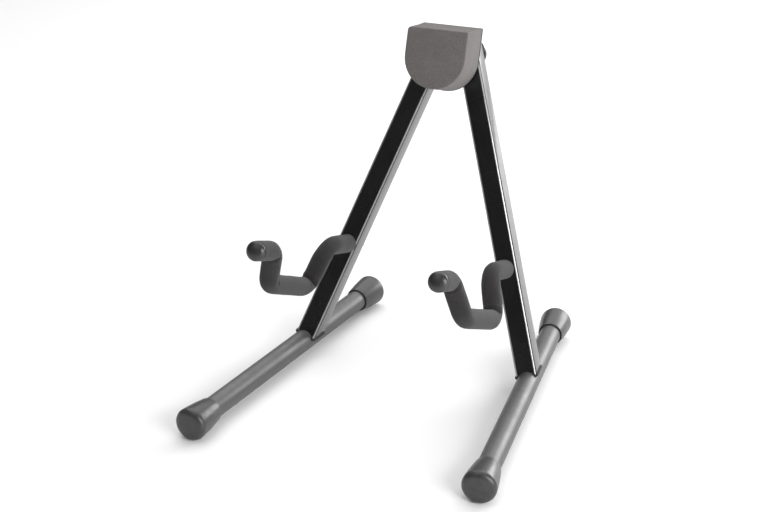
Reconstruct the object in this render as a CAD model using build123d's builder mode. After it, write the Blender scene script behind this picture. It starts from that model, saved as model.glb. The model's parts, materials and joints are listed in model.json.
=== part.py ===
"""Folding A-frame guitar stand with padded cradle arms and a padded neck block.

Frame: millimetres, +X to the stand's right, +Y to the rear, +Z up. The origin is on the floor,
below the centre of the stand's bounding box. The stand faces -Y.
"""
from build123d import *
import math
import os

# ---- driving dimensions ------------------------------------------------------------------
SPREAD = 18.5            # each leg from the middle plane, degrees, in the leaning leg plane
LEAN = 17.8              # how far the leg plane leans back from upright, degrees
LEG_LENGTH = 387.7       # from the crossing of the leg centre lines to the foot tube's axis
LEG_TOP = 36.0           # where the leg tube starts below that crossing
LEG_WIDTH = 22.0         # square leg tube
LEG_CORNER = 2.5
WALL = 1.5               # wall of both tubes

FOOT_RADIUS = 11.0       # round foot tube
FOOT_FRONT = 221.5       # leg joint to the front end of the foot, caps included
FOOT_REAR = 143.0        # leg joint to the rear end of the foot, caps included
CAP_LENGTH = 38.0        # rubber foot cap
CAP_RADIUS = 16.5        # its widest radius, which stands on the floor
CAP_MOUTH_RADIUS = 12.3
CAP_BULGE = 0.4          # how far the flare stands proud of a straight cone
CAP_FLOOR = 5.0          # rubber beyond the end of the foot tube
CAP_SHOULDER = 6.5       # the flare reaches its widest radius this far from the closed end
CAP_DOME = 1.2           # how far the closed end bulges
CAP_EDGE = 4.5           # rounding of the closed end

PIVOT = 55.0             # pivot bolt below the crossing of the leg centre lines
SLEEVE_RADIUS = 6.0
SLEEVE_PLAY = 0.05       # running clearance of the legs, round and beside the sleeve
BOLT_RADIUS = 4.0
BOLT_GAP = 0.15          # bolt in the plates, washers and sleeve
WASHER_RADIUS = 9.5
WASHER_THICK = 1.0
PLATE_THICK = 1.5
BOLT_HEAD_RADIUS = 8.0
BOLT_HEAD_HEIGHT = 4.4
BOLT_SOCKET = 5.0        # across flats
PIVOT_NUT_FLATS = 13.0
PIVOT_NUT_HEIGHT = 6.0
NUT_CAP_RADIUS = 11.0
NUT_CAP_HEIGHT = 8.8
NUT_CAP_EDGE = 1.8

PAD_HALF_WIDTH = 31.5    # neck block, which is also the radius of its round bottom
PAD_TOP_REAR = -27.2     # its top edges, along the leg plane from the crossing
PAD_TOP_FRONT = -34.0
PAD_ROUND_CENTRE = -61.0
PAD_CORNER = 3.5
PLATE_EDGE = 0.25        # the front hinge plate shows this far past the block
PLATE_CORNER = 1.0
PAD_FRONT = 56.0         # front face of the block, ahead of the leg plane
POCKET_GAP = 0.6         # round the bolt heads sunk in the block
REAR_PLATE_HALF_WIDTH = 27.0
REAR_PLATE_HEIGHT = 26.0
REAR_PLATE_CORNER = 7.0

ARM_MOUNT = 275.0        # arm rod through the leg, below the crossing
ARM_INSET = 1.3          # its hole is this far inside the leg's centre line
ROD_RADIUS = 4.0
FOAM_RADIUS = 9.6
ARM_BENDS = (22.0, 18.0, 18.0, 17.0)   # bend radii of the rod's centre line, from the leg
ARM_SHOULDER = 52.5      # straight out from the leg's front face
ARM_DROP = (7.3, -45.5, -0.9)          # next runs: forwards, up along the leg, outwards
ARM_FLOOR = (96.1, 11.0, 2.7)
ARM_RISE = (19.0, 36.2, 1.5)
ARM_TIP = (41.5, 1.5, 1.1)
TIP_CAP_LENGTH = 6.0
TIP_CAP_FLOOR = 3.0
TIP_CAP_EDGE = 4.0
ARM_NUT_FLATS = 13.0
ARM_NUT_HEIGHT = 6.5
ARM_WASHER_RADIUS = 8.5
ARM_WASHER_THICK = 1.6
ROD_THREAD_END = 2.0     # rod past the nut

PLUG_HEAD = 2.5          # plastic plug in the open top of each leg
PLUG_DEPTH = 10.0
PLUG_GAP = 0.1
WELD_SIZE = 1.8
COPE_HEIGHT = 3.0        # the leg's coped end stops this far above the foot tube's axis

# ---- derived geometry --------------------------------------------------------------------
half = LEG_WIDTH / 2
spread = math.radians(SPREAD)
lean = math.radians(LEAN)
forward = Vector(0, -math.cos(lean), math.sin(lean))   # square to the leg plane, to the front
upward = Vector(0, math.sin(lean), math.cos(lean))     # up in the leg plane
rightward = Vector(1, 0, 0)

toe = math.atan(math.tan(spread) * math.sin(lean))     # folded feet come out parallel
foot_middle = (FOOT_FRONT - FOOT_REAR) / 2             # from the foot's middle to the leg joint
joint_y = foot_middle * math.cos(toe)
rise = LEG_LENGTH * math.cos(spread)
crossing = Vector(0, joint_y, CAP_RADIUS) + upward * rise
head_plane = Plane(origin=crossing, x_dir=rightward, z_dir=forward)
pivot_x = PIVOT * math.sin(spread)
pivot_v = -PIVOT * math.cos(spread)

face_gap = half + SLEEVE_PLAY
plate_face = face_gap + WASHER_THICK
plate_out = plate_face + PLATE_THICK

os.makedirs("parts", exist_ok=True)


def save(builder, name):
    """Label a finished piece and write it."""
    builder.part.label = name
    export_step(builder.part, f"parts/{name}.step")


def leg_direction(side):
    """Unit vector down a leg; side is +1 for the right leg and -1 for the left."""
    return rightward * (side * math.sin(spread)) - upward * math.cos(spread)


def leg_plane(side, distance):
    """Plane square to a leg at a distance below the crossing, x to the front of the leg."""
    down = leg_direction(side)
    return Plane(origin=crossing + down * distance, x_dir=forward, z_dir=down)


def joint_point(side):
    """Where the leg's centre line meets the foot tube's axis."""
    return crossing + leg_direction(side) * LEG_LENGTH


def foot_direction(side):
    """Unit vector along a foot tube, to the rear."""
    return Vector(-side * math.sin(toe), math.cos(toe), 0)


def foot_plane(side, distance):
    """Plane square to a foot tube, at a distance behind the leg joint, x upwards."""
    rear = foot_direction(side)
    return Plane(origin=joint_point(side) + rear * distance, x_dir=(0, 0, 1), z_dir=rear)


def arm_corners(side, start, trim):
    """Corners of the arm rod's path, from a distance ahead of the leg's axis, last run trimmed."""
    leg_up = leg_direction(side) * -1
    outward = rightward * (side * math.cos(spread)) + upward * math.sin(spread)
    hole = crossing - leg_up * ARM_MOUNT - outward * ARM_INSET
    run = math.hypot(*ARM_TIP)
    last = [step * (run - trim) / run for step in ARM_TIP]
    points = [hole + forward * start, hole + forward * (half + ARM_SHOULDER)]
    for ahead, up, out in (ARM_DROP, ARM_FLOOR, ARM_RISE, last):
        points.append(points[-1] + forward * ahead + leg_up * up + outward * out)
    return points


def d_shape(top, corner=PAD_CORNER, edge=0.0):
    """D-shaped face of the neck block: square shoulders above, half round below."""
    width = PAD_HALF_WIDTH + edge
    with BuildSketch() as shape:
        with BuildLine():
            down = Line((width, top + edge), (width, PAD_ROUND_CENTRE))
            lowest = (0, PAD_ROUND_CENTRE - width)
            bottom = ThreePointArc(down @ 1, lowest, (-width, PAD_ROUND_CENTRE))
            up = Line(bottom @ 1, (-width, top + edge))
            Line(up @ 1, down @ 0)
        make_face()
        fillet(shape.vertices().sort_by(Axis.Y)[-2:], corner)
    return shape.sketch


# ---- neck block and hinge plates ---------------------------------------------------------
pivots = [(pivot_x, pivot_v), (-pivot_x, pivot_v)]

with BuildPart() as head_pad:
    with BuildSketch(head_plane.offset(plate_out)):
        add(d_shape(PAD_TOP_REAR))
    with BuildSketch(head_plane.offset(PAD_FRONT)):
        add(d_shape(PAD_TOP_FRONT))
    loft(ruled=True)
    with BuildSketch(head_plane.offset(plate_out)):
        with Locations(*pivots):
            Circle(BOLT_HEAD_RADIUS + POCKET_GAP)
    extrude(amount=BOLT_HEAD_HEIGHT + POCKET_GAP, mode=Mode.SUBTRACT)
save(head_pad, "head_pad")

with BuildPart() as front_plate:
    with BuildSketch(head_plane.offset(plate_face)):
        add(d_shape(PAD_TOP_REAR, PLATE_CORNER, PLATE_EDGE))
        with Locations(*pivots):
            Circle(BOLT_RADIUS + BOLT_GAP, mode=Mode.SUBTRACT)
    extrude(amount=PLATE_THICK)
save(front_plate, "front_hinge_plate")

with BuildPart() as rear_plate:
    with BuildSketch(head_plane.offset(-plate_out)):
        with Locations((0, pivot_v)):
            RectangleRounded(2 * REAR_PLATE_HALF_WIDTH, REAR_PLATE_HEIGHT, REAR_PLATE_CORNER)
        with Locations(*pivots):
            Circle(BOLT_RADIUS + BOLT_GAP, mode=Mode.SUBTRACT)
    extrude(amount=PLATE_THICK)
save(rear_plate, "rear_hinge_plate")

with BuildPart() as pivot_washers:
    for level in (face_gap, -face_gap - WASHER_THICK):
        with BuildSketch(head_plane.offset(level)):
            with Locations(*pivots):
                Circle(WASHER_RADIUS)
                Circle(BOLT_RADIUS + BOLT_GAP, mode=Mode.SUBTRACT)
        extrude(amount=WASHER_THICK)
save(pivot_washers, "pivot_washers")


# ---- pivot hardware, one set for each leg ------------------------------------------------
def pivot_set(side, word):
    """Sleeve, bolt, nut and nut cap of one leg's pivot."""
    spot = (side * pivot_x, pivot_v)

    with BuildPart() as sleeve:
        with BuildSketch(head_plane.offset(-face_gap)):
            with Locations(spot):
                Circle(SLEEVE_RADIUS)
                Circle(BOLT_RADIUS + BOLT_GAP, mode=Mode.SUBTRACT)
        extrude(amount=2 * face_gap)
    save(sleeve, f"{word}_pivot_sleeve")

    nut_out = plate_out + PIVOT_NUT_HEIGHT
    bolt_end = nut_out + 0.8
    with BuildPart() as bolt:
        with BuildSketch(head_plane.offset(-bolt_end)):
            with Locations(spot):
                Circle(BOLT_RADIUS)
        extrude(amount=bolt_end + plate_out)
        with BuildSketch(head_plane.offset(plate_out)):
            with Locations(spot):
                Circle(BOLT_HEAD_RADIUS)
        extrude(amount=BOLT_HEAD_HEIGHT)
        rim = bolt.edges().filter_by(GeomType.CIRCLE).group_by(Axis(crossing, forward))[-1]
        fillet(rim, 2.5)
        with BuildSketch(head_plane.offset(plate_out + BOLT_HEAD_HEIGHT)):
            with Locations(spot):
                RegularPolygon(BOLT_SOCKET / 2, 6, major_radius=False)
        extrude(amount=-2.6, mode=Mode.SUBTRACT)
    save(bolt, f"{word}_pivot_bolt")

    with BuildPart() as nut:
        with BuildSketch(head_plane.offset(-nut_out)):
            with Locations(spot):
                RegularPolygon(PIVOT_NUT_FLATS / 2, 6, major_radius=False)
                Circle(BOLT_RADIUS, mode=Mode.SUBTRACT)
        extrude(amount=PIVOT_NUT_HEIGHT)
    save(nut, f"{word}_pivot_nut")

    cap_out = plate_out + NUT_CAP_HEIGHT
    with BuildPart() as nut_cap:
        with BuildSketch(head_plane.offset(-cap_out)):
            with Locations(spot):
                Circle(NUT_CAP_RADIUS)
        extrude(amount=NUT_CAP_HEIGHT)
        rim = nut_cap.edges().group_by(Axis(crossing, forward))[0]
        fillet(rim, NUT_CAP_EDGE)
        with BuildSketch(head_plane.offset(-nut_out)):
            with Locations(spot):
                RegularPolygon(PIVOT_NUT_FLATS / 2, 6, major_radius=False)
        extrude(amount=PIVOT_NUT_HEIGHT, mode=Mode.SUBTRACT)
        with BuildSketch(head_plane.offset(-bolt_end - BOLT_GAP)):
            with Locations(spot):
                Circle(BOLT_RADIUS + BOLT_GAP)
        extrude(amount=bolt_end, mode=Mode.SUBTRACT)
    save(nut_cap, f"{word}_nut_cap")


# ---- one leg with its foot ---------------------------------------------------------------
def leg_set(side, word):
    """Leg tube, its top plug, the foot tube and the weld between them."""
    leg_up = leg_direction(side) * -1
    rear = foot_direction(side)
    square_up = (leg_up - rear * leg_up.dot(rear)).normalized()
    cope = Plane(origin=joint_point(side) + square_up * COPE_HEIGHT, z_dir=square_up)
    hole_plane = Plane(origin=crossing, x_dir=leg_up, z_dir=forward)
    reach = FOOT_RADIUS + WELD_SIZE + LEG_WIDTH

    with BuildPart() as leg:
        with BuildSketch(leg_plane(side, LEG_TOP)):
            RectangleRounded(LEG_WIDTH, LEG_WIDTH, LEG_CORNER)
            inner = LEG_WIDTH - 2 * WALL
            RectangleRounded(inner, inner, LEG_CORNER - WALL, mode=Mode.SUBTRACT)
        extrude(amount=LEG_LENGTH - LEG_TOP + FOOT_RADIUS)
        split(bisect_by=cope, keep=Keep.TOP)
        with BuildSketch(foot_plane(side, -reach)):
            Circle(FOOT_RADIUS)
        extrude(amount=2 * reach, mode=Mode.SUBTRACT)
        with BuildSketch(hole_plane.offset(-LEG_WIDTH)):
            with Locations((-PIVOT, 0)):
                Circle(SLEEVE_RADIUS + SLEEVE_PLAY)
            with Locations((-ARM_MOUNT, side * ARM_INSET)):
                Circle(ROD_RADIUS + BOLT_GAP)
        extrude(amount=2 * LEG_WIDTH, mode=Mode.SUBTRACT)
    save(leg, f"{word}_leg_tube")

    with BuildPart() as plug:
        with BuildSketch(leg_plane(side, LEG_TOP - PLUG_HEAD)):
            RectangleRounded(LEG_WIDTH, LEG_WIDTH, LEG_CORNER)
        extrude(amount=PLUG_HEAD)
        with BuildSketch(leg_plane(side, LEG_TOP)):
            stem = LEG_WIDTH - 2 * WALL - 2 * PLUG_GAP
            RectangleRounded(stem, stem, LEG_CORNER - WALL)
        extrude(amount=PLUG_DEPTH)
    save(plug, f"{word}_leg_top_plug")

    tube_front = CAP_FLOOR - FOOT_FRONT
    tube_rear = FOOT_REAR - CAP_FLOOR
    with BuildPart() as foot:
        with BuildSketch(foot_plane(side, tube_front)):
            Circle(FOOT_RADIUS)
            Circle(FOOT_RADIUS - WALL, mode=Mode.SUBTRACT)
        extrude(amount=tube_rear - tube_front)
    save(foot, f"{word}_foot_tube")

    with BuildPart() as weld:
        with BuildSketch(leg_plane(side, LEG_LENGTH - reach)):
            bead = LEG_WIDTH + 2 * WELD_SIZE
            RectangleRounded(bead, bead, LEG_CORNER + WELD_SIZE)
            RectangleRounded(LEG_WIDTH, LEG_WIDTH, LEG_CORNER, mode=Mode.SUBTRACT)
        extrude(amount=2 * reach)
        split(bisect_by=cope, keep=Keep.TOP)
        with BuildSketch(foot_plane(side, -reach)):
            Circle(FOOT_RADIUS + WELD_SIZE)
        extrude(amount=2 * reach, mode=Mode.INTERSECT)
        with BuildSketch(foot_plane(side, -reach)):
            Circle(FOOT_RADIUS)
        extrude(amount=2 * reach, mode=Mode.SUBTRACT)
    save(weld, f"{word}_foot_weld")


def foot_cap(side, end, name):
    """Rubber boot on a foot tube's end: a flared wall and a domed, round-edged closed end."""
    reach = FOOT_REAR if end > 0 else FOOT_FRONT
    axis_out = foot_direction(side) * end
    mouth = joint_point(side) + axis_out * (reach - CAP_LENGTH)
    profile_plane = Plane(origin=mouth, x_dir=(0, 0, 1), z_dir=Vector(0, 0, 1).cross(axis_out))
    rim = (CAP_RADIUS, CAP_LENGTH - CAP_DOME)
    dome_radius = (CAP_RADIUS ** 2 + CAP_DOME ** 2) / (2 * CAP_DOME)
    dome_angle = math.degrees(math.asin(CAP_RADIUS / dome_radius))
    socket = CAP_LENGTH - CAP_FLOOR
    shoulder = CAP_LENGTH - CAP_SHOULDER
    swell = (CAP_MOUTH_RADIUS + CAP_RADIUS) / 2 + CAP_BULGE
    with BuildPart() as cap:
        with BuildSketch(profile_plane):
            with BuildLine():
                Polyline((0, socket), (FOOT_RADIUS, socket), (FOOT_RADIUS, 0),
                         (CAP_MOUTH_RADIUS, 0))
                flare = ThreePointArc((CAP_MOUTH_RADIUS, 0), (swell, shoulder / 2),
                                      (CAP_RADIUS, shoulder))
                Line(flare @ 1, rim)
                CenterArc((0, CAP_LENGTH - dome_radius), dome_radius, 90 - dome_angle, dome_angle)
                Line((0, CAP_LENGTH), (0, socket))
            make_face()
            fillet(vertices().sort_by_distance(rim)[0], CAP_EDGE)
        revolve(axis=Axis(mouth, axis_out))
    save(cap, name)


# ---- one cradle arm ----------------------------------------------------------------------
def arm_set(side, word):
    """Bent rod through the leg, its foam sleeve, tip cap, washer and nut."""
    nut_face = -half - ARM_WASHER_THICK
    rod_start = nut_face - ARM_NUT_HEIGHT - ROD_THREAD_END

    with BuildPart() as rod:
        with BuildLine() as rod_line:
            FilletPolyline(*arm_corners(side, rod_start, TIP_CAP_FLOOR), radius=ARM_BENDS)
        with BuildSketch(Plane(origin=rod_line.line @ 0, z_dir=rod_line.line % 0)):
            Circle(ROD_RADIUS)
        sweep()
    save(rod, f"{word}_arm_rod")

    with BuildPart() as foam:
        with BuildLine() as foam_line:
            FilletPolyline(*arm_corners(side, half, TIP_CAP_LENGTH), radius=ARM_BENDS)
        with BuildSketch(Plane(origin=foam_line.line @ 0, z_dir=foam_line.line % 0)):
            Circle(FOAM_RADIUS)
            Circle(ROD_RADIUS, mode=Mode.SUBTRACT)
        sweep()
    save(foam, f"{word}_arm_foam")

    tip = Plane(origin=foam_line.line @ 1, z_dir=foam_line.line % 1)
    with BuildPart() as tip_cap:
        with BuildSketch(tip):
            Circle(FOAM_RADIUS)
        extrude(amount=TIP_CAP_LENGTH)
        rim = tip_cap.edges().group_by(Axis(tip.origin, tip.z_dir))[-1]
        fillet(rim, TIP_CAP_EDGE)
        with BuildSketch(tip):
            Circle(ROD_RADIUS)
        extrude(amount=TIP_CAP_LENGTH - TIP_CAP_FLOOR, mode=Mode.SUBTRACT)
    save(tip_cap, f"{word}_arm_tip_cap")

    leg_axis = arm_corners(side, 0.0, 0.0)[0]
    rod_plane = Plane(origin=leg_axis, x_dir=leg_direction(side), z_dir=forward)
    with BuildPart() as washer:
        with BuildSketch(rod_plane.offset(nut_face)):
            Circle(ARM_WASHER_RADIUS)
            Circle(ROD_RADIUS + BOLT_GAP, mode=Mode.SUBTRACT)
        extrude(amount=ARM_WASHER_THICK)
    save(washer, f"{word}_arm_washer")

    with BuildPart() as nut:
        with BuildSketch(rod_plane.offset(nut_face - ARM_NUT_HEIGHT)):
            RegularPolygon(ARM_NUT_FLATS / 2, 6, major_radius=False)
            Circle(ROD_RADIUS, mode=Mode.SUBTRACT)
        extrude(amount=ARM_NUT_HEIGHT)
    save(nut, f"{word}_arm_nut")


for side, word in ((1, "right"), (-1, "left")):
    pivot_set(side, word)
    leg_set(side, word)
    foot_cap(side, -1, f"{word}_front_foot_cap")
    foot_cap(side, 1, f"{word}_rear_foot_cap")
    arm_set(side, word)
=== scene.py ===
"""Looks of a folding A-frame guitar stand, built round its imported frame.

Metres, +X to the stand's right, +Y to the rear, +Z up. The pivots and the lean of the legs come
from the frame's joints; the other places follow from the stand's own sizes below.
"""
import json
import math

import bpy
import numpy as np
from mathutils import Matrix, Vector


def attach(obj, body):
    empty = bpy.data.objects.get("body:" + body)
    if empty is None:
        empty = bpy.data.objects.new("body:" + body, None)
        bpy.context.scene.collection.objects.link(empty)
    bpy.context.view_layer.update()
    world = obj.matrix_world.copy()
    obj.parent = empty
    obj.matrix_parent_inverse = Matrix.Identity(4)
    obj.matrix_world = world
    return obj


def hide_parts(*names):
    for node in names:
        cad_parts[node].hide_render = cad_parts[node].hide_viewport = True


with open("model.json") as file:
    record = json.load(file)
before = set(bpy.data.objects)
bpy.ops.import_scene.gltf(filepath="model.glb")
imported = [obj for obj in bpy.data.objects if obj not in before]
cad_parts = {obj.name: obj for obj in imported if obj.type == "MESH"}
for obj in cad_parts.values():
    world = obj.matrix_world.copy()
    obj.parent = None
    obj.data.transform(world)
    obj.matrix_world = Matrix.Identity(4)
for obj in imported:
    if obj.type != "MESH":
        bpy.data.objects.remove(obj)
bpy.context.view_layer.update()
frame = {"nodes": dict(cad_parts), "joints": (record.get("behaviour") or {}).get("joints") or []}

MM = 0.001
TURN = 2 * math.pi

# ---- the stand's own sizes ----------------------------------------------------------------
SPREAD = math.radians(18.5)      # each leg from the middle plane
LEG_LENGTH = 387.7 * MM          # crossing of the leg centre lines to the foot tube's axis
LEG_TOP = 36.0 * MM
LEG_WIDTH = 22.0 * MM
LEG_CORNER = 2.5 * MM
PIVOT = 55.0 * MM                # crossing of the leg centre lines to the pivot bolt
FOOT_RADIUS = 11.0 * MM
FOOT_FRONT = 221.5 * MM          # leg joint to the foot's ends, boots included
FOOT_REAR = 143.0 * MM
COPE_HEIGHT = 6.0 * MM           # the leg's cut end above the foot tube's axis

BOOT_LENGTH = 38.0 * MM
BOOT_RADIUS = 16.5 * MM
BOOT_MOUTH = 12.6 * MM
BOOT_SWELL = 0.4 * MM            # the flare stands this proud of a straight cone
BOOT_SHOULDER = 6.5 * MM
BOOT_DOME = 1.2 * MM
BOOT_EDGE = 5.5 * MM
BOOT_FACE = 11.2 * MM            # radius of the domed face inside that edge

PLATE_OUT = 13.55 * MM           # outer faces of the two hinge plates, from the leg plane
PAD_FRONT = 56.0 * MM
PAD_HALF_WIDTH = 31.5 * MM
PAD_TOP_REAR = -27.2 * MM        # top edges, along the leg plane from the crossing
PAD_TOP_FRONT = -34.0 * MM
PAD_ROUND_CENTRE = -61.0 * MM
PAD_CORNER = 3.5 * MM
PAD_EDGE = 1.5 * MM              # rounding of the front face's edge

ARM_MOUNT = 275.0 * MM           # arm rod through the leg, below the crossing
ARM_INSET = 1.3 * MM
ROD_RADIUS = 4.0 * MM
FOAM_RADIUS = 9.6 * MM
ARM_BENDS = (22.0 * MM, 18.0 * MM, 18.0 * MM, 17.0 * MM)
ARM_FOLDS = (1.4 * MM, 3.8 * MM, 1.6 * MM, 1.2 * MM)    # depth of the foam's fold at each bend
FOAM_LEAST = 0.8 * MM            # least foam over the rod, in the deepest fold
FOLD_REACH = 1.3 * MM            # a fold dies away over this length
SWELL_PLACE = 5.5 * MM           # the swelling's distance from the fold
SWELL_WIDTH = 2.4 * MM
ARM_SHOULDER = 52.5 * MM
ARM_RUNS = np.array((            # next runs of the arm: forwards, up along the leg, outwards
    (7.3, -45.5, -0.9),
    (96.1, 11.0, 2.7),
    (19.0, 36.2, 1.5),
    (41.5, 1.5, 1.1))) * MM
TIP_LENGTH = 6.0 * MM

PLUG_HEAD = 2.5 * MM
NUT_CAP_RADIUS = 11.0 * MM
NUT_CAP_HEIGHT = 8.8 * MM
NUT_CAP_EDGE = 1.8 * MM
ARM_WASHER_THICK = 1.6 * MM
ARM_NUT_FLATS = 13.0 * MM
ARM_NUT_HEIGHT = 6.5 * MM
ARM_NUT_BODY = 5.2 * MM          # height of the hexagon; the round collar stands on it
THREAD_PITCH = 1.25 * MM
THREAD_DEPTH = 0.62 * MM
THREAD_START = 1.0 * MM          # inside the nut
THREAD_END = 2.0 * MM            # past the nut
WELD_RADIUS = 1.3 * MM
WELD_RIPPLE = 1.9 * MM           # length of one ripple

# ---- directions and places ----------------------------------------------------------------
folds = {joint["name"]: joint for joint in frame["joints"]}
forward = np.array(folds["left_leg_fold"]["axis"])       # square to the leg plane
rightward = np.array((1.0, 0.0, 0.0))
skyward = np.array((0.0, 0.0, 1.0))
upward = np.cross(forward, rightward)                    # up in the leg plane
pivots = {1: np.array(folds["right_leg_fold"]["pos_m"]), -1: np.array(folds["left_leg_fold"]["pos_m"])}
crossing = (pivots[1] + pivots[-1]) / 2 + upward * PIVOT * math.cos(SPREAD)
toe = math.atan(math.tan(SPREAD) * forward[2])
half = LEG_WIDTH / 2


def leg_down(side):
    """Unit vector down a leg; side is +1 for the right leg and -1 for the left."""
    return rightward * side * math.sin(SPREAD) - upward * math.cos(SPREAD)


def leg_outward(side):
    """Unit vector across a leg in the leg plane, away from the stand's middle."""
    return rightward * side * math.cos(SPREAD) + upward * math.sin(SPREAD)


def foot_rearward(side):
    """Unit vector along a foot tube, to the rear."""
    return np.array((-side * math.sin(toe), math.cos(toe), 0.0))


def foot_joint(side):
    """Where a leg's centre line meets its foot tube's axis."""
    return crossing + leg_down(side) * LEG_LENGTH


# ---- surfaces -----------------------------------------------------------------------------
def unit(vectors):
    """Vectors scaled to length one, along the last axis."""
    return vectors / np.linalg.norm(vectors, axis=-1, keepdims=True)


def smooth_step(value):
    """0 below 0, 1 above 1, and an even S between."""
    value = np.clip(value, 0.0, 1.0)
    return value * value * (3 - 2 * value)


def skin(name, rings, first=None, last=None, crease=35.0):
    """A closed mesh over rings of points, an array of (rings, points, 3).

    Neighbouring rings are joined by four-sided faces. A first and last pole close the ends with
    fans; with no poles the last ring joins the first. The sign of the volume turns it outwards.
    """
    count, around = rings.shape[:2]
    points = rings.reshape(-1, 3)
    here = np.arange(around)
    ahead = (here + 1) % around
    start = np.arange(count if first is None else count - 1)[:, None] * around
    after = (start + around) % (count * around)
    faces = np.stack([start + here, start + ahead, after + ahead, after + here], -1).reshape(-1, 4)
    parts = [faces[:, (0, 1, 2)], faces[:, (0, 2, 3)]]
    fans = np.empty((0, 3), int)
    if first is not None:
        points = np.concatenate([points, [first, last]])
        low, high = count * around, (count - 1) * around
        fans = np.concatenate([
            np.stack([ahead, here, np.full(around, low)], -1),
            np.stack([high + here, high + ahead, np.full(around, low + 1)], -1)])
        parts.append(fans)
    a, b, c = (points[np.concatenate(parts)][:, i] - points.mean(0) for i in range(3))
    if (a * np.cross(b, c)).sum() < 0:
        faces, fans = faces[:, ::-1], fans[:, ::-1]
    mesh = bpy.data.meshes.new(name)
    mesh.from_pydata(points.tolist(), [], faces.tolist() + fans.tolist())
    mesh.shade_smooth()
    mesh.set_sharp_from_angle(angle=math.radians(crease))
    piece = bpy.data.objects.new(name, mesh)
    bpy.context.scene.collection.objects.link(piece)
    return piece


def turned(name, profile, base, axis, around=96, crease=35.0):
    """A solid of revolution: a profile of (radius, height) pairs turned about an axis."""
    side = unit(np.cross(axis, skyward if abs(axis[2]) < 0.9 else rightward))
    other = np.cross(axis, side)
    angle = np.arange(around) * TURN / around
    spoke = np.cos(angle)[:, None] * side + np.sin(angle)[:, None] * other
    radius, height = np.asarray(profile).T
    rings = base + radius[:, None, None] * spoke[None] + height[:, None, None] * axis
    return skin(name, rings, base + axis * height[0], base + axis * height[-1], crease)


def bow(centre, radius, start, end, count=10):
    """Profile points on an arc, angles in degrees from the radius direction towards the axis's."""
    angle = np.radians(np.linspace(start, end, count))
    return np.stack([centre[0] + radius * np.cos(angle), centre[1] + radius * np.sin(angle)], -1)


def rounded_path(corners, radii, spacing):
    """A polyline with its corners rounded to arcs, as evenly spaced points.

    Also gives each bend as the length along the path to its middle, the direction of its inner
    side, its turn and its radius.
    """
    pieces, middles, bends = [corners[:1]], [], []
    for before, corner, after, radius in zip(corners, corners[1:], corners[2:], radii):
        come, go = unit(corner - before), unit(after - corner)
        turn = math.acos(np.dot(come, go))
        inner = unit(go - come)
        centre = corner + inner * radius / math.cos(turn / 2)
        angle = np.linspace(-turn / 2, turn / 2, 48)[:, None]
        pieces.append(centre - radius * (np.cos(angle) * inner - np.sin(angle) * unit(come + go)))
        middles.append(centre - radius * inner)
        bends.append((inner, turn, radius))
    line = np.concatenate(pieces + [corners[-1:]])
    length = np.concatenate([[0.0], np.cumsum(np.linalg.norm(np.diff(line, axis=0), axis=1))])
    places = [length[np.linalg.norm(line - middle, axis=1).argmin()] for middle in middles]
    steps = np.linspace(0.0, length[-1], int(length[-1] / spacing) + 1)
    points = np.stack([np.interp(steps, length, line[:, i]) for i in range(3)], -1)
    return points, steps, [(place, *bend) for place, bend in zip(places, bends)]


def around_path(angle, across, other):
    """Unit spokes round every point of a path: cos(angle) * across + sin(angle) * other."""
    return np.cos(angle)[None, :, None] * across[:, None] + np.sin(angle)[None, :, None] * other[:, None]


def uneven(points, size, seed):
    """A slow, even swing between -1 and 1 over space: sine waves in fixed directions."""
    random = np.random.default_rng(seed)
    waves = unit(random.normal(size=(6, 3))) * (TURN / size) * random.uniform(0.6, 1.6, (6, 1))
    phases = random.uniform(0, TURN, 6)
    return np.sin(points @ waves.T + phases).sum(-1) / 6


# ---- neck block ---------------------------------------------------------------------------
def block_outline(top, inset, depth_share):
    """The block's face outline, moved inwards by inset: straight top and sides, arcs elsewhere.

    The top corners are sharp at the rear; the left one grows rounder towards the front. Every
    outline has the same number of points in each stretch, so outlines loft straight.
    """
    width = PAD_HALF_WIDTH - inset
    crown = top - inset
    soft = max(1.2 * MM + (PAD_CORNER - 1.2 * MM) * depth_share - inset, 0.4 * MM)
    sharp = max(1.0 * MM + 0.6 * MM * depth_share - inset, 0.3 * MM)
    bottom = np.linspace(0, -math.pi, 72)
    left = np.linspace(math.pi, math.pi / 2, 12)
    right = np.linspace(math.pi / 2, 0, 12)
    side = np.linspace(0, 1, 14)[1:-1, None]
    lid = np.linspace(0, 1, 26)[1:-1, None]
    round_part = np.stack([width * np.cos(bottom), PAD_ROUND_CENTRE + width * np.sin(bottom)], -1)
    left_part = np.stack([soft * (1 + np.cos(left)) - width, crown - soft * (1 - np.sin(left))], -1)
    right_part = np.stack([width - sharp * (1 - np.cos(right)), crown - sharp * (1 - np.sin(right))], -1)
    rise = round_part[-1] + (left_part[0] - round_part[-1]) * side
    across = left_part[-1] + (right_part[0] - left_part[-1]) * lid
    fall = right_part[-1] + (round_part[0] - right_part[-1]) * side
    return np.concatenate([round_part, rise, left_part, across, right_part, fall])


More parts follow.
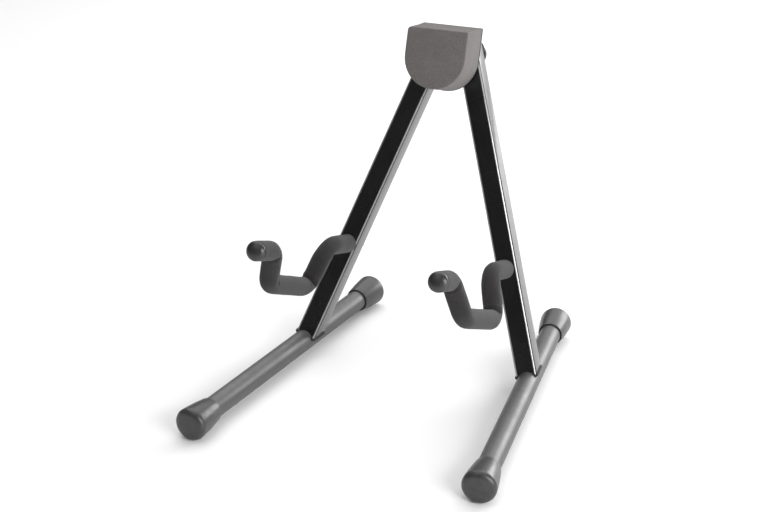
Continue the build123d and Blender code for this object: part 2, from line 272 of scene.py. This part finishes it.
def neck_block():
    """The foam block: outlines lofted forwards with a quarter-circle front edge.

    The face is crowned by 0.5 mm * (1 - share ** 4), share running from its middle to its edge.
    The sides are waisted by a half sine, and slow unevenness is added away from the rear.
    """
    depth = PAD_FRONT - PLATE_OUT
    middle = np.array((0.0, PAD_ROUND_CENTRE))
    layers = []

    def layer(level, inset=0.0, share=1.0):
        """Adds one outline at a level ahead of the leg plane, shrunk to share about its middle."""
        depth_share = (level - PLATE_OUT) / depth
        top = PAD_TOP_REAR + (PAD_TOP_FRONT - PAD_TOP_REAR) * depth_share
        flat = middle + (block_outline(top, inset, depth_share) - middle) * share
        layers.append(crossing + flat[:, :1] * rightward + flat[:, 1:] * upward + level * forward)

    for share in np.linspace(0.1, 0.95, 8):
        layer(PLATE_OUT, 0.4 * MM, share)
    for angle in np.radians((0, 30, 60, 90)):
        layer(PLATE_OUT + 0.4 * MM * math.sin(angle) * 0.999, 0.4 * MM * (1 - math.sin(angle)))
    for share in np.linspace(0, 1, 40)[1:-1]:
        waist = 0.12 * MM * math.sin(math.pi * share)
        layer(PLATE_OUT + 0.4 * MM + (depth - PAD_EDGE - 0.4 * MM) * share, waist)
    for angle in np.radians(np.linspace(0, 90, 9)):
        layer(PAD_FRONT - PAD_EDGE * (1 - math.sin(angle)), PAD_EDGE * (1 - math.cos(angle)))
    for share in np.linspace(0.985, 0.04, 34):
        layer(PAD_FRONT + 0.5 * MM * (1 - share ** 4), PAD_EDGE, share)
    rings = np.stack(layers)
    centre = crossing + middle[1] * upward
    swing = uneven(rings, 26 * MM, 3) * 0.22 * MM + uneven(rings, 9 * MM, 4) * 0.07 * MM
    away = unit(rings - centre - forward * depth * 0.5)
    front_share = smooth_step(((rings - crossing) @ forward - PLATE_OUT) / (4 * MM))
    rings = rings + away * (swing * front_share)[..., None]
    return skin("neck_block", rings, centre + PLATE_OUT * forward,
                centre + (PAD_FRONT + 0.5 * MM) * forward, 60)


# ---- cradle arms --------------------------------------------------------------------------
def arm_corners(side, start, trim):
    """Corners of an arm's path from a distance ahead of the leg's axis, its last run trimmed."""
    leg_up, outward = -leg_down(side), leg_outward(side)
    hole = crossing - leg_up * ARM_MOUNT - outward * ARM_INSET
    corners = [hole + forward * start, hole + forward * (half + ARM_SHOULDER)]
    for ahead, rise, out in ARM_RUNS:
        corners.append(corners[-1] + forward * ahead + leg_up * rise + outward * out)
    corners[-1] = corners[-1] - unit(corners[-1] - corners[-2]) * trim
    return np.array(corners)


def foam_sleeve(side, name):
    """Foam tube on an arm's rounded path.

    Its radius is the foam's. On the inner side of a bend it stops at the plane where the two
    straight runs would meet, which leaves a sharp fold. There the radius loses
    fold * exp(-gap / FOLD_REACH), gains a bell curve beside the fold and thins over the outside,
    but the foam is never thinner than FOAM_LEAST.
    """
    points, along, bends = rounded_path(arm_corners(side, half, TIP_LENGTH), ARM_BENDS, 0.5 * MM)
    tangent = unit(np.gradient(points, axis=0))
    across = unit(np.cross(leg_outward(side), tangent))
    other = np.cross(tangent, across)
    angle = np.arange(96) * TURN / 96
    spoke = around_path(angle, across, other)
    radius = np.full(spoke.shape[:2], FOAM_RADIUS)
    for number, (place, inner, turn, bend) in enumerate(bends):
        gap = (along - place)[:, None]
        facing = spoke @ inner
        inside = smooth_step(facing * 1.6 + 0.3)
        left = np.maximum(turn / 2 - np.abs(gap) / bend, 0)
        shift = bend * (1 - np.cos(left))
        a = (facing * np.cos(left)) ** 2 + 1 - facing ** 2
        b = shift * facing * np.cos(left)
        meet = (np.sqrt(b * b - a * (shift ** 2 - FOAM_RADIUS ** 2)) - b) / a
        radius = np.minimum(radius, meet)
        lean = 0.5 * MM * np.sin(3 * angle + number)[None]
        fold = ARM_FOLDS[number] * inside
        radius -= fold * np.exp(-np.abs(gap - lean) / FOLD_REACH)
        radius += 0.15 * fold * np.exp(-((np.abs(gap) - SWELL_PLACE) / SWELL_WIDTH) ** 2)
        radius -= 0.3 * MM * np.exp(-(gap / (9 * MM)) ** 2) * smooth_step(-facing)
    middle = points[:, None] + spoke * FOAM_RADIUS
    radius += uneven(middle, 24 * MM, 7 + side) * 0.16 * MM
    radius += uneven(middle, 7 * MM, 9 + side) * 0.05 * MM
    radius = np.maximum(radius, ROD_RADIUS + FOAM_LEAST)
    end = np.minimum(along, along[-1] - along)[:, None]
    radius -= 0.9 * MM * np.clip(1 - end / (0.9 * MM), 0, 1) ** 2
    rings = points[:, None] + spoke * radius[..., None]
    return skin(name, rings, points[0], points[-1], 50)


def tip_cap(side, name):
    """Moulded cap on an arm's tip: a short wall, then radius = wall * sqrt(1 - height ** 2.4)."""
    corners = arm_corners(side, half, TIP_LENGTH)
    axis = unit(corners[-1] - corners[-2])
    wall = FOAM_RADIUS - 0.1 * MM
    skirt = 0.6 * MM
    share = np.sin(np.linspace(0, math.pi / 2, 30)[:-1])
    nose = np.stack([wall * np.sqrt(1 - share ** 2.4), skirt + (TIP_LENGTH - skirt) * share], -1)
    rim = [(0.3 * MM, 0.0), (wall - 0.5 * MM, 0.0), (wall - 0.15 * MM, 0.25 * MM)]
    return turned(name, np.concatenate([rim, nose]), corners[-1], axis, 96, 50)


def lock_nut(side, name):
    """Hexagon of radius flat / cos(angle) with both ends chamfered by a cone, and a round collar."""
    down, outward = leg_down(side), leg_outward(side)
    hole = crossing + down * ARM_MOUNT - outward * ARM_INSET
    base = hole - forward * (half + ARM_WASHER_THICK)
    angle = np.arange(144) * TURN / 144
    flat = ARM_NUT_FLATS / 2
    hexagon = flat / np.cos((angle + TURN / 12) % (TURN / 6) - TURN / 12)
    rise = np.linspace(0, ARM_NUT_BODY, 22)
    top = np.linspace(ARM_NUT_BODY, ARM_NUT_HEIGHT, 8)
    heights = np.concatenate([rise, [ARM_NUT_BODY], top])
    cone = flat + 0.1 * MM + np.minimum(heights, ARM_NUT_BODY - heights) * 1.7
    radius = np.minimum(hexagon[None], cone[:, None])
    collar = 5.7 * MM - 0.5 * MM * smooth_step((heights - ARM_NUT_HEIGHT + 0.6 * MM) / (0.6 * MM))
    radius[-len(top):] = collar[-len(top):, None]
    spoke = np.cos(angle)[:, None] * down + np.sin(angle)[:, None] * outward
    rings = base + radius[..., None] * spoke[None] - heights[:, None, None] * forward
    return skin(name, rings, base, base - forward * ARM_NUT_HEIGHT, 25)


def thread_end(side, name):
    """Threaded end of an arm's rod: radius = rod - depth * |2 * phase - 1| ** 1.4 over each pitch."""
    down, outward = leg_down(side), leg_outward(side)
    hole = crossing + down * ARM_MOUNT - outward * ARM_INSET
    face = half + ARM_WASHER_THICK + ARM_NUT_HEIGHT
    angle = np.arange(96) * TURN / 96
    heights = np.linspace(-THREAD_START, THREAD_END, 46)
    phase = (heights[:, None] / THREAD_PITCH - angle[None] / TURN) % 1.0
    chamfer = 0.6 * MM
    radius = ROD_RADIUS - THREAD_DEPTH * np.abs(2 * phase - 1) ** 1.4
    radius -= 0.9 * MM * np.clip((heights[:, None] - THREAD_END + chamfer) / chamfer, 0, 1)
    spoke = np.cos(angle)[:, None] * down + np.sin(angle)[:, None] * outward
    rings = hole + radius[..., None] * spoke[None] - (face + heights[:, None, None]) * forward
    return skin(name, rings, hole - forward * (face - THREAD_START),
                hole - forward * (face + THREAD_END), 50)


# ---- legs and feet ------------------------------------------------------------------------
def square_outline(width, corner, steps=9):
    """Rounded square about the origin, as (forwards, outwards) pairs."""
    centre = width / 2 - corner
    angle = np.concatenate([np.linspace(k, k + 1, steps) for k in range(4)]) * math.pi / 2
    quarter = np.repeat(np.arange(4), steps)
    signs = np.array(((1, 1), (-1, 1), (-1, -1), (1, -1)))[quarter]
    return signs * centre + corner * np.stack([np.cos(angle), np.sin(angle)], -1)


def cope(side, outline):
    """How far down the leg each outline point meets the foot tube, or the coped end's plane.

    The tube is met at the smaller root of |offset + t * down| = FOOT_RADIUS, both taken square to
    the tube's axis. The plane lies COPE_HEIGHT above that axis and holds wherever it comes first.
    """
    down, along = leg_down(side), foot_rearward(side)
    offset = outline[:, :1] * forward + outline[:, 1:] * leg_outward(side)
    square = unit(-down + along * (down @ along))
    flat_down = down - along * (down @ along)
    flat_offset = offset - (offset @ along)[:, None] * along
    plane = (COPE_HEIGHT - offset @ square) / (down @ square)
    b = flat_offset @ flat_down
    a = flat_down @ flat_down
    inside = b * b - a * ((flat_offset ** 2).sum(-1) - FOOT_RADIUS ** 2)
    touch = (-b - np.sqrt(np.maximum(inside, 0))) / a
    return LEG_LENGTH + np.where(inside > 0, np.minimum(touch, plane), plane)


def leg_tube(side, name):
    """Rounded-square tube from its plug down to its coped end on the foot tube."""
    outline = square_outline(LEG_WIDTH, LEG_CORNER)
    share = np.linspace(0, 1, 90)[:, None]
    reach = LEG_TOP + (cope(side, outline) - LEG_TOP) * share
    ring = outline[:, :1] * forward + outline[:, 1:] * leg_outward(side)
    rings = crossing + ring[None] + reach[..., None] * leg_down(side)
    return skin(name, rings, crossing + leg_down(side) * LEG_TOP, foot_joint(side), 25)


def leg_plug(side, name):
    """Push-in plug on the leg's open top: a rounded edge and a slightly domed face."""
    edge = 0.9 * MM
    layers = [(0.0, 0.25 * MM), (0.15 * MM, 0.1 * MM), (0.3 * MM, 0.05 * MM)]
    layers += [(PLUG_HEAD - edge * (1 - math.sin(a)), 0.05 * MM + edge * (1 - math.cos(a)))
               for a in np.radians(np.linspace(0, 90, 7))]
    layers += [(PLUG_HEAD + 0.4 * MM * math.sin(a), half * (1 - 0.9 * math.cos(a)))
               for a in np.radians(np.linspace(5, 85, 8))]
    down = leg_down(side)
    rings = []
    for height, inset in layers:
        corner = max(LEG_CORNER - inset, 0.1 * MM) if inset < half / 2 else (half - inset) * 0.4
        outline = square_outline(LEG_WIDTH - 2 * inset, corner)
        rings.append(crossing + outline[:, :1] * forward + outline[:, 1:] * leg_outward(side)
                     + down * (LEG_TOP - height))
    return skin(name, np.stack(rings), crossing + down * LEG_TOP,
                crossing + down * (LEG_TOP - PLUG_HEAD - 0.4 * MM), 40)


def weld_bead(side, name):
    """Bead round the leg's coped end: a ring on that curve, its radius rippled by |sin|."""
    outline = square_outline(LEG_WIDTH, LEG_CORNER, 30)
    ring = outline[:, :1] * forward + outline[:, 1:] * leg_outward(side)
    loop = crossing + ring + cope(side, outline)[:, None] * leg_down(side)
    closed = np.concatenate([loop, loop[:1]])
    length = np.concatenate([[0.0], np.cumsum(np.linalg.norm(np.diff(closed, axis=0), axis=1))])
    steps = np.linspace(0, length[-1], 361)[:-1]
    line = np.stack([np.interp(steps, length, closed[:, i]) for i in range(3)], -1)
    for _ in range(3):
        line = (np.roll(line, 1, 0) + 2 * line + np.roll(line, -1, 0)) / 4
    tangent = unit(np.roll(line, -1, 0) - np.roll(line, 1, 0))
    across = unit(np.cross(tangent, leg_down(side)))
    other = np.cross(tangent, across)
    angle = np.arange(20) * TURN / 20
    spoke = around_path(angle, across, other)
    ripples = round(length[-1] / WELD_RIPPLE)
    wave = np.abs(np.sin(math.pi * ripples * steps / length[-1]))[:, None]
    radius = WELD_RADIUS + 0.25 * MM * wave + 0.12 * MM * uneven(line, 12 * MM, 21 + side)[:, None]
    return skin(name, line[:, None] + spoke * radius[..., None], crease=60)


def boot(side, end, name):
    """Rubber boot: a mouth standing off the tube, a flaring wall, a round edge and a low dome.

    The wall is a straight cone plus 4 * BOOT_SWELL * share * (1 - share). The dome is part of a
    sphere with a rise of BOOT_DOME over the whole radius.
    """
    axis = foot_rearward(side) * end
    mouth = foot_joint(side) + axis * ((FOOT_REAR if end > 0 else FOOT_FRONT) - BOOT_LENGTH)
    lip = (BOOT_MOUTH - FOOT_RADIUS) * 0.2
    shoulder = BOOT_LENGTH - BOOT_SHOULDER
    chord = math.hypot(BOOT_RADIUS - BOOT_MOUTH, shoulder)
    share = np.linspace(0.03, 1, 22)
    swell = BOOT_SWELL * 4 * share * (1 - share) * chord / shoulder
    flare = np.stack([BOOT_MOUTH + (BOOT_RADIUS - BOOT_MOUTH) * share + swell, shoulder * share], -1)
    edge = (BOOT_RADIUS - BOOT_EDGE, BOOT_LENGTH - BOOT_DOME - BOOT_EDGE + 0.45 * MM)
    dome = (BOOT_RADIUS ** 2 + BOOT_DOME ** 2) / (2 * BOOT_DOME)
    profile = np.concatenate([
        [(FOOT_RADIUS - 0.4 * MM, 6.2 * MM), (BOOT_MOUTH - 2 * lip, 6.0 * MM)],
        bow((BOOT_MOUTH - lip, lip), lip, 180, 340, 12),
        flare,
        bow(edge, BOOT_EDGE, 0, 80, 20),
        bow((0.0, BOOT_LENGTH - dome), dome, 90 - math.degrees(BOOT_FACE / dome), 89.9, 12)])
    return turned(name, profile, mouth, axis, 128, 50)


# ---- pivot hardware -----------------------------------------------------------------------
def nut_cap(side, name):
    """Snap-on cap over a pivot nut: a thin flange, a tapering wall and a shallow dished top."""
    centre = pivots[side] - forward * PLATE_OUT
    top, edge = NUT_CAP_HEIGHT, NUT_CAP_EDGE
    profile = np.concatenate([
        [(NUT_CAP_RADIUS - 0.6 * MM, 0.0)],
        bow((NUT_CAP_RADIUS - 0.5 * MM, 0.6 * MM), 0.5 * MM, -80, 80, 8),
        [(NUT_CAP_RADIUS - 0.3 * MM, 1.25 * MM), (NUT_CAP_RADIUS - 0.4 * MM, top - edge)],
        bow((NUT_CAP_RADIUS - 0.4 * MM - edge, top - edge), edge, 5, 90, 12),
        [(5.6 * MM, top), (5.2 * MM, top - 0.25 * MM), (0.4 * MM, top - 0.35 * MM)]])
    return turned(name, profile, centre, -forward, 72)


# ---- shader groups ------------------------------------------------------------------------
def group(name, inputs, outputs):
    """A shader node group with named value inputs and outputs, and its two ends."""
    tree = bpy.data.node_groups.new(name, "ShaderNodeTree")
    for label, default in inputs:
        socket = tree.interface.new_socket(label, in_out="INPUT", socket_type="NodeSocketFloat")
        socket.default_value = default
    for label in outputs:
        tree.interface.new_socket(label, in_out="OUTPUT", socket_type="NodeSocketFloat")
    return tree, tree.nodes.new("NodeGroupInput"), tree.nodes.new("NodeGroupOutput")


def put(tree, kind, links=(), **values):
    """A node with its inputs set by name and its sources linked."""
    node = tree.nodes.new(kind)
    for key, value in values.items():
        setattr(node, key, value)
    for socket, source in links:
        if hasattr(source, "is_output"):
            tree.links.new(source, node.inputs[socket])
        else:
            node.inputs[socket].default_value = source
    return node


def speckle_group():
    """Noise in object space between 0 and 1: Grain is fine and Cloud slow, sizes in millimetres."""
    tree, start, end = group("speckle", [("Grain size", 1.0), ("Cloud size", 40.0)], ["Grain", "Cloud"])
    place = tree.nodes.new("ShaderNodeTexCoord").outputs["Object"]
    for label, detail in (("Grain", 3.0), ("Cloud", 2.0)):
        scale = put(tree, "ShaderNodeMath", [(0, 1000.0), (1, start.outputs[f"{label} size"])],
                    operation="DIVIDE")
        noise = put(tree, "ShaderNodeTexNoise", [("Vector", place), ("Scale", scale.outputs[0]),
                                                 ("Detail", detail), ("Roughness", 0.6)])
        tree.links.new(noise.outputs["Fac"], end.inputs[label])
    return tree


def cell_group():
    """Cut foam: Height is the relief of its cells, and the second output marks the deepest of them, for
    painted shade in the pore hollows.
    """
    tree, start, end = group("foam_cells", [("Cell size", 0.6)], ["Height", "Pore shade"])
    place = tree.nodes.new("ShaderNodeTexCoord").outputs["Object"]
    scale = put(tree, "ShaderNodeMath", [(0, 1000.0), (1, start.outputs["Cell size"])], operation="DIVIDE")
    cells = put(tree, "ShaderNodeTexVoronoi", [("Vector", place), ("Scale", scale.outputs[0])],
                feature="SMOOTH_F1")
    noise = put(tree, "ShaderNodeTexNoise", [("Vector", place), ("Scale", scale.outputs[0]),
                                             ("Detail", 2.0)])
    height = put(tree, "ShaderNodeMath", [(0, cells.outputs["Distance"]), (1, noise.outputs["Fac"])],
                 operation="ADD")
    pore_shade = put(tree, "ShaderNodeMapRange", [("Value", height.outputs[0]), ("From Min", 1.05),
                                             ("From Max", 0.7), ("To Min", 0.0), ("To Max", 1.0)])
    tree.links.new(height.outputs[0], end.inputs["Height"])
    tree.links.new(pore_shade.outputs[0], end.inputs["Pore shade"])
    return tree


def dust_group():
    """Settled dust between 0 and 1: on faces that look up, broken by slow noise."""
    tree, start, end = group("settled_dust", [("Amount", 0.2)], ["Dust"])
    normal = tree.nodes.new("ShaderNodeNewGeometry").outputs["Normal"]
    face = put(tree, "ShaderNodeSeparateXYZ", [("Vector", normal)])
    up = put(tree, "ShaderNodeMapRange", [("Value", face.outputs["Z"]), ("From Min", 0.35),
                                          ("From Max", 1.0)])
    place = tree.nodes.new("ShaderNodeTexCoord").outputs["Object"]
    patch = put(tree, "ShaderNodeTexNoise", [("Vector", place), ("Scale", 160.0), ("Detail", 5.0)])
    share = put(tree, "ShaderNodeMath", [(0, up.outputs[0]), (1, patch.outputs["Fac"])],
                operation="MULTIPLY")
    scaled = put(tree, "ShaderNodeMath", [(0, share.outputs[0]), (1, start.outputs["Amount"])],
                 operation="MULTIPLY")
    tree.links.new(scaled.outputs[0], end.inputs["Dust"])
    return tree


def highlight_band_group():
    """The output is Amount on the half of each rounded corner nearer the front or rear face, 0 elsewhere:
    the band that carries a painted highlight.
    """
    tree, start, end = group("painted_highlight_band", [("Amount", 0.45)], ["Rub"])
    normal = tree.nodes.new("ShaderNodeTexCoord").outputs["Normal"]
    facing = put(tree, "ShaderNodeVectorMath", [(0, normal), (1, tuple(forward))], operation="DOT_PRODUCT")
    turned_by = put(tree, "ShaderNodeMath", [(0, facing.outputs["Value"])], operation="ABSOLUTE")
    off_side = put(tree, "ShaderNodeMapRange", [("Value", turned_by.outputs[0]), ("From Min", 0.66),
                                                ("From Max", 0.76)])
    off_front = put(tree, "ShaderNodeMapRange", [("Value", turned_by.outputs[0]), ("From Min", 0.995),
                                                 ("From Max", 0.97)])
    band = put(tree, "ShaderNodeMath", [(0, off_side.outputs[0]), (1, off_front.outputs[0])],
               operation="MULTIPLY")
    scaled = put(tree, "ShaderNodeMath", [(0, band.outputs[0]), (1, start.outputs["Amount"])],
                 operation="MULTIPLY")
    tree.links.new(scaled.outputs[0], end.inputs["Rub"])
    return tree


speckle, foam_cells, settled_dust = speckle_group(), cell_group(), dust_group()
painted_highlight_band = highlight_band_group()


# ---- materials ----------------------------------------------------------------------------
def finish(name, **sockets):
    """A new material with its Principled shader's own sockets set."""
    material = bpy.data.materials.new(name)
    material.use_nodes = True
    shader = material.node_tree.nodes["Principled BSDF"]
    for socket, value in sockets.items():
        shader.inputs[socket.replace("_", " ")].default_value = value
    return material, material.node_tree, shader


def use(tree, kind, **values):
    """One of the shader groups in a material, with its inputs set."""
    node = put(tree, "ShaderNodeGroup", node_tree=kind)
    for key, value in values.items():
        node.inputs[key.replace("_", " ")].default_value = value
    return node.outputs


def spread_colour(tree, shader, factor, dark, light):
    """Base Color runs from dark to light as factor goes from 0 to 1. Gives back the mix node."""
    mix = put(tree, "ShaderNodeMix", [("Factor", factor)], data_type="RGBA")
    mix.inputs[6].default_value = (*dark, 1.0)
    mix.inputs[7].default_value = (*light, 1.0)
    tree.links.new(mix.outputs[2], shader.inputs["Base Color"])
    return mix


def spread_roughness(tree, shader, factor, low, high):
    """Roughness runs from low to high as factor goes from 0.3 to 0.7."""
    span = put(tree, "ShaderNodeMapRange", [("Value", factor), ("From Min", 0.3), ("From Max", 0.7),
                                            ("To Min", low), ("To Max", high)])
    tree.links.new(span.outputs[0], shader.inputs["Roughness"])


def relief(tree, shader, height, depth, strength):
    """A bump of the given depth in metres into the shader's Normal."""
    bump = put(tree, "ShaderNodeBump", [("Height", height), ("Distance", depth), ("Strength", strength)])
    tree.links.new(bump.outputs["Normal"], shader.inputs["Normal"])


def powder_coat():
    """Semi-gloss black powder coat: faint orange peel, a little dust, and a painted highlight as a bright
    metal band on the rounded corners.
    """
    material, tree, shader = finish("powder_coat", IOR=1.5, Coat_Weight=0.55, Coat_Roughness=0.06)
    grain = use(tree, speckle, Grain_size=1.6, Cloud_size=45.0)
    dust = use(tree, settled_dust, Amount=0.3)
    highlight = use(tree, painted_highlight_band)
    coat_mix = spread_colour(tree, shader, dust["Dust"], (0.005, 0.005, 0.0055), (0.09, 0.088, 0.085))
    # painted highlight: on the corner band the colour turns to bright metal, so the corners shine as a thin
    # line
    highlight_colour = put(tree, "ShaderNodeMix", [("Factor", highlight["Rub"])], data_type="RGBA")
    tree.links.new(coat_mix.outputs[2], highlight_colour.inputs[6])
    highlight_colour.inputs[7].default_value = (0.68, 0.68, 0.69, 1.0)
    tree.links.new(highlight_colour.outputs[2], shader.inputs["Base Color"])
    tree.links.new(highlight["Rub"], shader.inputs["Metallic"])
    spread_roughness(tree, shader, grain["Cloud"], 0.22, 0.32)
    relief(tree, shader, grain["Grain"], 0.04 * MM, 0.2)
    return material


def satin_coat():
    """Satin black coat on the plates and welds: duller, rubbed in slow patches."""
    material, tree, shader = finish("satin_coat", Specular_IOR_Level=0.3)
    grain = use(tree, speckle, Grain_size=0.9, Cloud_size=30.0)
    dust = use(tree, settled_dust, Amount=0.3)
    spread_colour(tree, shader, dust["Dust"], (0.006, 0.006, 0.0065), (0.05, 0.048, 0.046))
    spread_roughness(tree, shader, grain["Cloud"], 0.42, 0.56)
    relief(tree, shader, grain["Grain"], 0.05 * MM, 0.3)
    return material


def tube_coat():
    """Gray-black hammered coat on the foot tubes: broad soft highlights, fine dimples."""
    material, tree, shader = finish("tube_coat", Specular_IOR_Level=0.6)
    grain = use(tree, speckle, Grain_size=1.1, Cloud_size=30.0)
    dust = use(tree, settled_dust, Amount=0.5)
    spread_colour(tree, shader, dust["Dust"], (0.052, 0.050, 0.051), (0.18, 0.176, 0.172))
    spread_roughness(tree, shader, grain["Cloud"], 0.38, 0.48)
    relief(tree, shader, grain["Grain"], 0.09 * MM, 0.5)
    return material


def cut_foam(name, dark, light, cell):
    """Matte closed-cell foam: open cells on a cut face, pores darkened with painted shade, and slow random
    changes of tone.
    """
    material, tree, shader = finish(name, Roughness=0.95, Specular_IOR_Level=0.2,
                                    Sheen_Weight=0.12, Sheen_Roughness=0.6)
    grain = use(tree, speckle, Grain_size=2.5, Cloud_size=22.0)
    cells = use(tree, foam_cells, Cell_size=cell)
    base = spread_colour(tree, shader, grain["Cloud"], dark, light)
    # painted shade: the deepest cells are multiplied darker, as if shaded inside their hollows
    shade = put(tree, "ShaderNodeMix", [("Factor", cells["Pore shade"])], data_type="RGBA")
    shade.blend_type = "MULTIPLY"
    tree.links.new(base.outputs[2], shade.inputs[6])
    shade.inputs[7].default_value = (0.55, 0.55, 0.55, 1.0)
    tree.links.new(shade.outputs[2], shader.inputs["Base Color"])
    relief(tree, shader, cells["Height"], 0.3 * MM, 0.8)
    return material


def moulded_rubber():
    """Dark gray moulded rubber: satin, fine-grained, scuffed in slow patches."""
    material, tree, shader = finish("moulded_rubber", Coat_Weight=0.25, Coat_Roughness=0.2)
    grain = use(tree, speckle, Grain_size=0.7, Cloud_size=8.0)
    spread_colour(tree, shader, grain["Cloud"], (0.009, 0.0085, 0.009), (0.050, 0.047, 0.048))
    spread_roughness(tree, shader, grain["Cloud"], 0.38, 0.52)
    relief(tree, shader, grain["Grain"], 0.06 * MM, 0.35)
    return material


def tip_plastic():
    """Half-gloss black moulded plastic with faint smears."""
    material, tree, shader = finish("tip_plastic", Specular_IOR_Level=0.65)
    grain = use(tree, speckle, Grain_size=3.0, Cloud_size=9.0)
    spread_colour(tree, shader, grain["Cloud"], (0.012, 0.012, 0.012), (0.026, 0.025, 0.026))
    spread_roughness(tree, shader, grain["Cloud"], 0.32, 0.42)
    relief(tree, shader, grain["Grain"], 0.03 * MM, 0.15)
    return material


def dull_plastic():
    """Dull black moulded plastic with a fine spark-eroded grain."""
    material, tree, shader = finish("dull_plastic", Specular_IOR_Level=0.3)
    grain = use(tree, speckle, Grain_size=0.5, Cloud_size=12.0)
    spread_colour(tree, shader, grain["Cloud"], (0.008, 0.008, 0.008), (0.015, 0.015, 0.016))
    spread_roughness(tree, shader, grain["Cloud"], 0.6, 0.75)
    relief(tree, shader, grain["Grain"], 0.04 * MM, 0.3)
    return material


def blackened_steel():
    """Blackened plated steel: metal, darker in slow patches, finely ground."""
    material, tree, shader = finish("blackened_steel", Metallic=1.0)
    grain = use(tree, speckle, Grain_size=0.4, Cloud_size=7.0)
    spread_colour(tree, shader, grain["Cloud"], (0.10, 0.10, 0.105), (0.24, 0.235, 0.23))
    spread_roughness(tree, shader, grain["Cloud"], 0.3, 0.45)
    relief(tree, shader, grain["Grain"], 0.02 * MM, 0.25)
    return material


paint, dull_paint, tube_paint = powder_coat(), satin_coat(), tube_coat()
block_foam = cut_foam("block_foam", (0.128, 0.115, 0.113), (0.168, 0.152, 0.150), 0.55)
sleeve_foam = cut_foam("sleeve_foam", (0.018, 0.0165, 0.017), (0.034, 0.031, 0.032), 0.6)
rubber, gloss, satin, steel = moulded_rubber(), tip_plastic(), dull_plastic(), blackened_steel()


def coat(piece, material):
    """One material all over a piece or a CAD node."""
    piece.data.materials.clear()
    piece.data.materials.append(material)


def fit(piece, material, slot, body, *nodes):
    """Finish, body and CAD nodes of a new piece."""
    coat(piece, material)
    if nodes:
        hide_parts(*nodes)
    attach(piece, body)
    return piece


# ---- the stand ----------------------------------------------------------------------------
fit(neck_block(), block_foam, "pad_foam", "head", "head_pad")
for side, word in ((1, "right"), (-1, "left")):
    leg = f"{word}_leg"
    fit(nut_cap(side, f"{word}_domed_cap"), satin, "black_plastic", "head", f"{word}_nut_cap")
    fit(leg_tube(side, f"{word}_leg_shell"), paint, "black_paint", leg, f"{word}_leg_tube")
    fit(leg_plug(side, f"{word}_leg_cap"), satin, "black_plastic", leg, f"{word}_leg_top_plug")
    fit(weld_bead(side, f"{word}_weld_bead"), dull_paint, "black_paint", leg, f"{word}_foot_weld")
    for end, place in ((-1, "front"), (1, "rear")):
        fit(boot(side, end, f"{word}_{place}_boot"), rubber, "cap_rubber", leg, f"{word}_{place}_foot_cap")
    sleeve = fit(foam_sleeve(side, f"{word}_foam_sleeve"), sleeve_foam, "arm_foam", leg, f"{word}_arm_foam")
    fit(tip_cap(side, f"{word}_tip"), gloss, "tip_plastic", leg, f"{word}_arm_tip_cap")
    fit(lock_nut(side, f"{word}_lock_nut"), steel, "dark_steel", leg, f"{word}_arm_nut")
    fit(thread_end(side, f"{word}_thread_end"), steel, "dark_steel", leg)

carried = {"foot_tube": tube_paint, "hinge_plate": dull_paint, "washer": steel, "bolt": steel, "nut": steel,
           "sleeve": steel, "rod": steel}
for name, node in frame["nodes"].items():
    for ending, material in carried.items():
        if not node.hide_render and ending in name:
            coat(node, material)

# ---- floor, light and camera --------------------------------------------------------------
floor = bpy.data.objects.new("floor", bpy.data.meshes.new("floor"))
reach = 12.0
floor.data.from_pydata([(-reach, -reach, 0), (reach, -reach, 0), (reach, reach, 0), (-reach, reach, 0)],
                       [], [(0, 1, 2, 3)])
bpy.context.scene.collection.objects.link(floor)
floor_paint, _, floor_shader = finish("floor_paint", Roughness=0.8)
floor_shader.inputs["Base Color"].default_value = (0.86, 0.86, 0.86, 1.0)
coat(floor, floor_paint)


def soft_box(name, toward, distance, width, height, power):
    """Rectangular area light, at a distance from the stand's middle in a given direction."""
    light = bpy.data.lights.new(name, "AREA")
    light.shape, light.size, light.size_y, light.energy = "RECTANGLE", width, height, power
    lamp = bpy.data.objects.new(name, light)
    middle = Vector((0.0, 0.0, 0.16))
    lamp.location = middle + Vector(toward).normalized() * distance
    lamp.rotation_mode = "QUATERNION"
    lamp.rotation_quaternion = Vector(toward).to_track_quat("Z", "Y")
    bpy.context.scene.collection.objects.link(lamp)
    return lamp


soft_box("overhead", (-0.15, 0.5, 1.0), 2.9, 4.4, 4.4, 125)
soft_box("right_rear", (0.45, 0.85, 0.22), 1.9, 1.0, 0.8, 24)
soft_box("right_front", (0.93, -0.42, 0.3), 1.8, 1.1, 0.9, 24)
soft_box("front_fill", (-0.3, -0.85, 1.1), 3.2, 2.2, 2.2, 17)
soft_box("front_right", (0.63, -0.62, 0.45), 1.9, 0.4, 0.4, 8)

world = bpy.data.worlds.new("studio")
world.use_nodes = True
world.node_tree.nodes["Background"].inputs["Color"].default_value = (1.0, 1.0, 1.0, 1.0)
world.node_tree.nodes["Background"].inputs["Strength"].default_value = 0.08
bpy.context.scene.world = world
bpy.context.scene.view_settings.view_transform = "Standard"

AZIMUTH, ELEVATION, ROLL = (math.radians(a) for a in (22.54, 23.12, 0.142))
DISTANCE = 1.730
back = np.array((math.sin(AZIMUTH) * math.cos(ELEVATION), -math.cos(AZIMUTH) * math.cos(ELEVATION),
                 math.sin(ELEVATION)))
level = np.array((math.cos(AZIMUTH), math.sin(AZIMUTH), 0.0))
tall = np.cross(back, level)
across = level * math.cos(ROLL) + tall * math.sin(ROLL)
tall = tall * math.cos(ROLL) - level * math.sin(ROLL)
target = np.array((-0.0826, crossing[1] - 0.0002, 0.0720))
eye = target + back * DISTANCE
camera = bpy.data.objects.new("camera", bpy.data.cameras.new("camera"))
camera.data.lens = 73.8
camera.data.sensor_width = 36.0
camera.matrix_world = Matrix((
    (across[0], tall[0], back[0], eye[0]),
    (across[1], tall[1], back[1], eye[1]),
    (across[2], tall[2], back[2], eye[2]),
    (0.0, 0.0, 0.0, 1.0)))
bpy.context.scene.collection.objects.link(camera)
bpy.context.scene.camera = camera
